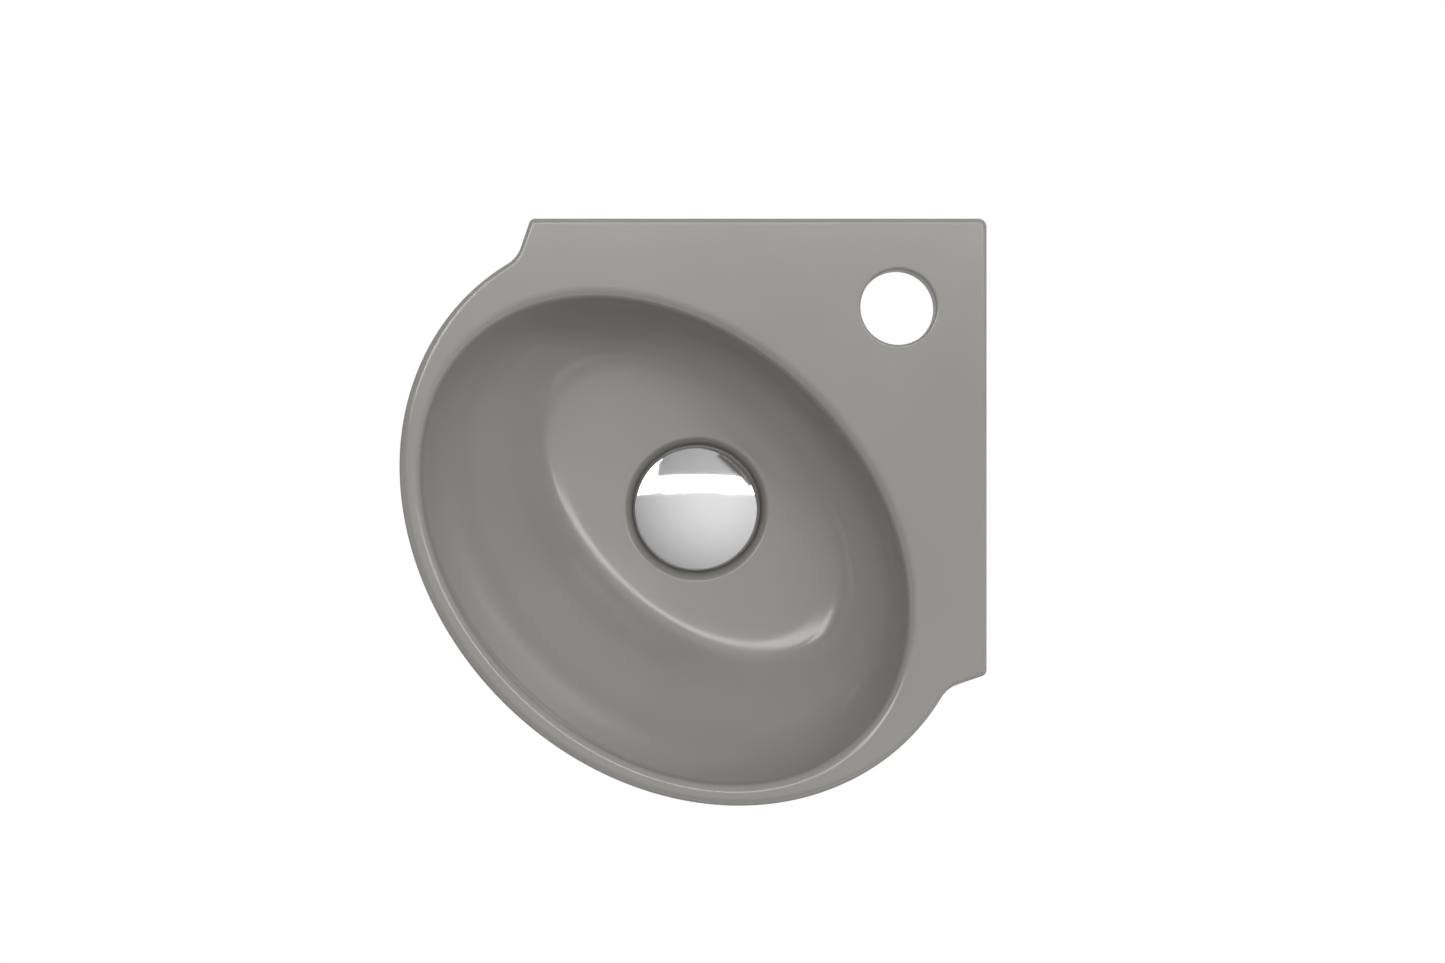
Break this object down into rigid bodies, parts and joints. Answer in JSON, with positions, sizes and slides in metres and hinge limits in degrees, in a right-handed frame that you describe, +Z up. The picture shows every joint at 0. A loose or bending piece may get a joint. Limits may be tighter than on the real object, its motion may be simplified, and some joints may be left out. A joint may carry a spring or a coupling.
{
  "type": "corner basin",
  "caption": "Small corner hand basin in matt warm-grey ceramic: oval bowl off a tap deck, flat backs on both walls, chrome push-open waste.",
  "frame": {"origin": "corner where the planes of the two back faces meet, at the level of the deck", "axes": "+Z up; the back faces look along +X and +Y, and the basin lies in -X and -Y"},
  "size_m": [0.28, 0.28, 0.172],
  "materials": {
    "glaze": "satin warm-grey glaze, even all over, bare on no visible face",
    "cap_chrome": "polished chrome plate on brass",
    "waste_chrome": "chrome plate on turned brass, threaded tail",
    "seal_rubber": "matt black sealing rubber",
    "washer_plastic": "natural slide washer",
    "nut_brass": "turned brass, bare",
    "cartridge_plastic": "moulded off-white",
    "plunger_plastic": "moulded pale grey",
    "rotor_plastic": "moulded blue",
    "nut_plastic": "moulded grey",
    "spring_steel": "drawn stainless wire"
  },
  "bodies": {
    "basin_set": {"basin": "glaze", "flange_seal": "seal_rubber", "waste_body": "waste_chrome", "under_seal": "seal_rubber", "slide_washer": "washer_plastic", "back_nut": "nut_brass", "cartridge_sleeve": "cartridge_plastic", "cartridge_lock_nut": "nut_plastic", "cartridge_spring": "spring_steel", "cartridge_collar": "cartridge_plastic"},
    "cap": {"waste_cap": "cap_chrome", "cap_seal": "seal_rubber", "cartridge_plunger": "plunger_plastic"},
    "rotor": {"cartridge_rotor": "rotor_plastic"}
  },
  "joints": [
    {"name": "cap_lift", "type": "slide", "parent": "basin_set", "child": "cap", "axis": [0, 0, 1], "range_m": [0, 0.008], "deforming": ["cartridge_spring"]},
    {"name": "rotor_turn", "type": "hinge", "parent": "cap", "child": "rotor", "pos_m": [-0.13925, -0.13925, -0.111], "axis": [0, 0, 1], "range_deg": [0, 45]}
  ],
  "couplings": [
    {"joint": "rotor_turn", "follows": "cap_lift", "rad_per_m": 98.17}
  ]
}
